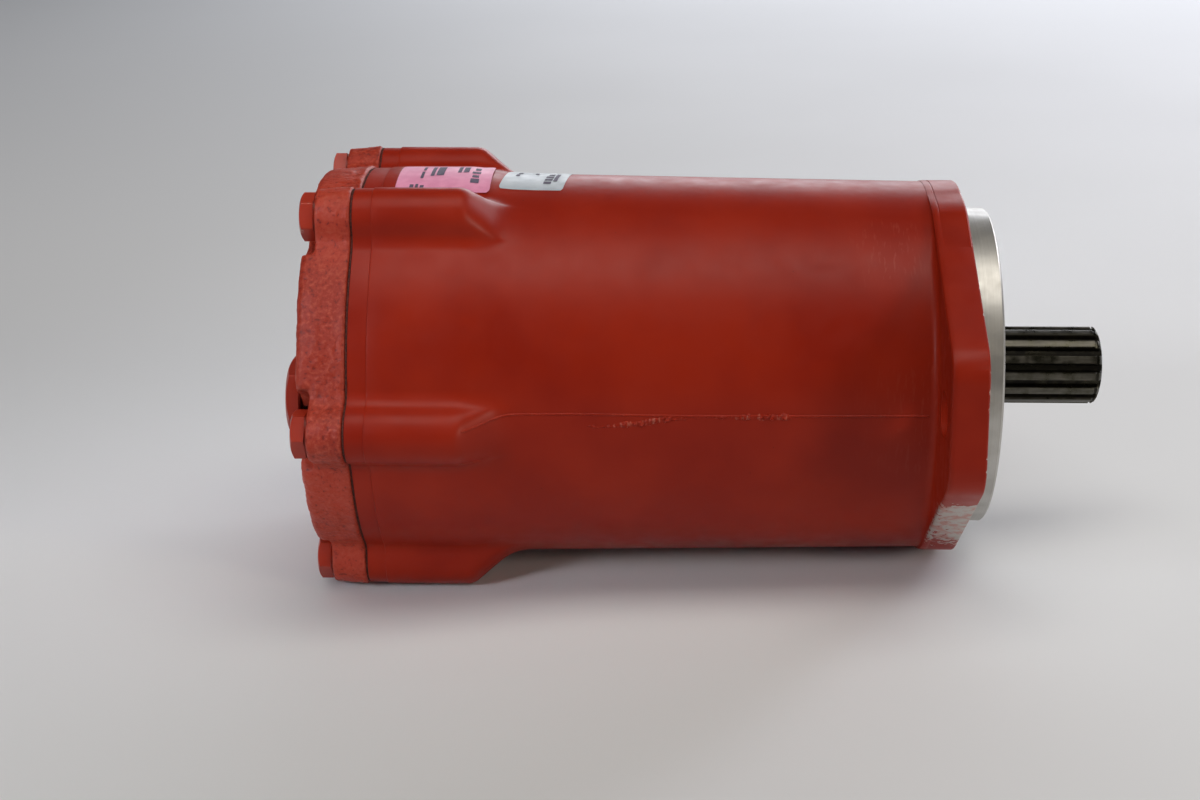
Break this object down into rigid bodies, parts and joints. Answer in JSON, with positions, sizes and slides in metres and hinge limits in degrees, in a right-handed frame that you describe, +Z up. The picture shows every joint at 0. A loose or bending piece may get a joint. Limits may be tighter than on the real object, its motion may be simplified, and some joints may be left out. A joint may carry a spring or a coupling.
{
  "type": "axial piston pump",
  "caption": "Axial piston pump with a cast barrel housing, two-bolt mounting flange, pilot, splined drive shaft and a bolted rear cover with plugged ports.",
  "frame": {"origin": "under the middle of the pump's bounding box, on the plane that the two lower bolt lobes stand on", "axes": "+X along the drive shaft towards its splined end and normal to the mounting flange's face, +Z up when the pump lies on its lower lobes, +Y to the side away from the front ear"},
  "size_m": [0.3188, 0.2194, 0.1625],
  "materials": {
    "painted_housing": "cast aluminium under satin red oxide paint",
    "painted_cover": "sand-cast iron under satin red oxide paint",
    "painted_fasteners": "steel under satin red oxide paint",
    "gasket_paper": "pressed gasket sheet",
    "seal_rubber": "moulded nitrile rubber",
    "ground_steel": "ground and lapped",
    "swash_iron": "machined",
    "oiled_steel": "dark, oiled, machined",
    "bronze": "machined bronze",
    "pink_label_paper": "coated label",
    "white_label_paper": "coated label"
  },
  "bodies": {
    "casing": {"housing": "painted_housing", "rear_cover": "painted_cover", "cover_gasket": "gasket_paper", "cover_bolt_1": "painted_fasteners", "cover_bolt_2": "painted_fasteners", "cover_bolt_3": "painted_fasteners", "cover_bolt_4": "painted_fasteners", "cover_bolt_5": "painted_fasteners", "cover_bolt_6": "painted_fasteners", "port_plug_rear": "painted_fasteners", "port_plug_front": "painted_fasteners", "port_seal_rear": "seal_rubber", "port_seal_front": "seal_rubber", "drain_plug": "painted_fasteners", "front_bearing_cup": "ground_steel", "rear_bearing_ring": "ground_steel", "swashplate": "swash_iron", "thrust_plate": "ground_steel", "valve_plate": "bronze", "valve_plate_pin": "ground_steel", "shaft_seal": "seal_rubber", "seal_snap_ring": "oiled_steel", "pink_label": "pink_label_paper", "white_label": "white_label_paper"},
    "shaft": {"drive_shaft": "oiled_steel", "front_bearing_cone": "ground_steel", "cylinder_block": "ground_steel", "bearing_plate": "bronze", "ball_guide": "ground_steel", "block_spring": "ground_steel", "spring_seat_front": "ground_steel", "spring_seat_rear": "ground_steel", "block_snap_ring": "oiled_steel", "push_pin_1": "ground_steel", "push_pin_2": "ground_steel", "push_pin_3": "ground_steel"},
    "front_cage": {"front_bearing_rollers": "ground_steel"},
    "rear_cage": {"rear_bearing_rollers": "ground_steel"},
    "retainer": {"slipper_retainer": "bronze"},
    "slipper_1": {"slipper_1": "bronze"},
    "piston_1": {"piston_1": "ground_steel"},
    "slipper_2": {"slipper_2": "bronze"},
    "piston_2": {"piston_2": "ground_steel"},
    "slipper_3": {"slipper_3": "bronze"},
    "piston_3": {"piston_3": "ground_steel"},
    "slipper_4": {"slipper_4": "bronze"},
    "piston_4": {"piston_4": "ground_steel"},
    "slipper_5": {"slipper_5": "bronze"},
    "piston_5": {"piston_5": "ground_steel"},
    "slipper_6": {"slipper_6": "bronze"},
    "piston_6": {"piston_6": "ground_steel"},
    "slipper_7": {"slipper_7": "bronze"},
    "piston_7": {"piston_7": "ground_steel"},
    "slipper_8": {"slipper_8": "bronze"},
    "piston_8": {"piston_8": "ground_steel"},
    "slipper_9": {"slipper_9": "bronze"},
    "piston_9": {"piston_9": "ground_steel"}
  },
  "joints": [
    {"name": "shaft_spin", "type": "hinge", "parent": "casing", "child": "shaft", "pos_m": [0.0996, 0, 0.08075], "axis": [1, 0, 0], "continuous": true},
    {"name": "front_cage_spin", "type": "hinge", "parent": "casing", "child": "front_cage", "pos_m": [0.08535, 0, 0.08075], "axis": [1, 0, 0], "continuous": true},
    {"name": "rear_cage_spin", "type": "hinge", "parent": "casing", "child": "rear_cage", "pos_m": [-0.1244, 0, 0.08075], "axis": [1, 0, 0], "continuous": true},
    {"name": "retainer_spin", "type": "hinge", "parent": "casing", "child": "retainer", "pos_m": [0.01218, 0, 0.08075], "axis": [0.9659, 0, -0.2588], "continuous": true},
    {"name": "slipper_1_turn", "type": "hinge", "parent": "retainer", "child": "slipper_1", "pos_m": [0.01218, 0.04273, 0.08075], "axis": [0.9659, 0, -0.2588], "continuous": true},
    {"name": "piston_1_turn", "type": "hinge", "parent": "slipper_1", "child": "piston_1", "pos_m": [0.01218, 0.04273, 0.08075], "axis": [1, 0, 0], "continuous": true},
    {"name": "slipper_2_turn", "type": "hinge", "parent": "retainer", "child": "slipper_2", "pos_m": [0.01929, 0.03273, 0.10728], "axis": [0.9659, 0, -0.2588], "continuous": true},
    {"name": "piston_2_turn", "type": "hinge", "parent": "slipper_2", "child": "piston_2", "pos_m": [0.01929, 0.03273, 0.10728], "axis": [1, 0, 0], "continuous": true},
    {"name": "slipper_3_turn", "type": "hinge", "parent": "retainer", "child": "slipper_3", "pos_m": [0.02307, 0.00742, 0.1214], "axis": [0.9659, 0, -0.2588], "continuous": true},
    {"name": "piston_3_turn", "type": "hinge", "parent": "slipper_3", "child": "piston_3", "pos_m": [0.02307, 0.00742, 0.1214], "axis": [1, 0, 0], "continuous": true},
    {"name": "slipper_4_turn", "type": "hinge", "parent": "retainer", "child": "slipper_4", "pos_m": [0.02175, -0.02136, 0.1165], "axis": [0.9659, 0, -0.2588], "continuous": true},
    {"name": "piston_4_turn", "type": "hinge", "parent": "slipper_4", "child": "piston_4", "pos_m": [0.02175, -0.02136, 0.1165], "axis": [1, 0, 0], "continuous": true},
    {"name": "slipper_5_turn", "type": "hinge", "parent": "retainer", "child": "slipper_5", "pos_m": [0.01596, -0.04015, 0.09487], "axis": [0.9659, 0, -0.2588], "continuous": true},
    {"name": "piston_5_turn", "type": "hinge", "parent": "slipper_5", "child": "piston_5", "pos_m": [0.01596, -0.04015, 0.09487], "axis": [1, 0, 0], "continuous": true},
    {"name": "slipper_6_turn", "type": "hinge", "parent": "retainer", "child": "slipper_6", "pos_m": [0.00839, -0.04015, 0.06664], "axis": [0.9659, 0, -0.2588], "continuous": true},
    {"name": "piston_6_turn", "type": "hinge", "parent": "slipper_6", "child": "piston_6", "pos_m": [0.00839, -0.04015, 0.06664], "axis": [1, 0, 0], "continuous": true},
    {"name": "slipper_7_turn", "type": "hinge", "parent": "retainer", "child": "slipper_7", "pos_m": [0.0026, -0.02136, 0.04501], "axis": [0.9659, 0, -0.2588], "continuous": true},
    {"name": "piston_7_turn", "type": "hinge", "parent": "slipper_7", "child": "piston_7", "pos_m": [0.0026, -0.02136, 0.04501], "axis": [1, 0, 0], "continuous": true},
    {"name": "slipper_8_turn", "type": "hinge", "parent": "retainer", "child": "slipper_8", "pos_m": [0.00129, 0.00742, 0.04011], "axis": [0.9659, 0, -0.2588], "continuous": true},
    {"name": "piston_8_turn", "type": "hinge", "parent": "slipper_8", "child": "piston_8", "pos_m": [0.00129, 0.00742, 0.04011], "axis": [1, 0, 0], "continuous": true},
    {"name": "slipper_9_turn", "type": "hinge", "parent": "retainer", "child": "slipper_9", "pos_m": [0.00507, 0.03273, 0.05423], "axis": [0.9659, 0, -0.2588], "continuous": true},
    {"name": "piston_9_turn", "type": "hinge", "parent": "slipper_9", "child": "piston_9", "pos_m": [0.00507, 0.03273, 0.05423], "axis": [1, 0, 0], "continuous": true}
  ],
  "couplings": [
    {"joint": "front_cage_spin", "follows": "shaft_spin", "ratio": 0.4148},
    {"joint": "rear_cage_spin", "follows": "shaft_spin", "ratio": 0.4348},
    {"joint": "retainer_spin", "follows": "shaft_spin", "ratio": 1},
    {"joint": "slipper_1_turn", "follows": "shaft_spin", "ratio": -1},
    {"joint": "piston_1_turn", "follows": "shaft_spin", "ratio": 1},
    {"joint": "slipper_2_turn", "follows": "shaft_spin", "ratio": -1},
    {"joint": "piston_2_turn", "follows": "shaft_spin", "ratio": 1},
    {"joint": "slipper_3_turn", "follows": "shaft_spin", "ratio": -1},
    {"joint": "piston_3_turn", "follows": "shaft_spin", "ratio": 1},
    {"joint": "slipper_4_turn", "follows": "shaft_spin", "ratio": -1},
    {"joint": "piston_4_turn", "follows": "shaft_spin", "ratio": 1},
    {"joint": "slipper_5_turn", "follows": "shaft_spin", "ratio": -1},
    {"joint": "piston_5_turn", "follows": "shaft_spin", "ratio": 1},
    {"joint": "slipper_6_turn", "follows": "shaft_spin", "ratio": -1},
    {"joint": "piston_6_turn", "follows": "shaft_spin", "ratio": 1},
    {"joint": "slipper_7_turn", "follows": "shaft_spin", "ratio": -1},
    {"joint": "piston_7_turn", "follows": "shaft_spin", "ratio": 1},
    {"joint": "slipper_8_turn", "follows": "shaft_spin", "ratio": -1},
    {"joint": "piston_8_turn", "follows": "shaft_spin", "ratio": 1},
    {"joint": "slipper_9_turn", "follows": "shaft_spin", "ratio": -1},
    {"joint": "piston_9_turn", "follows": "shaft_spin", "ratio": 1}
  ]
}
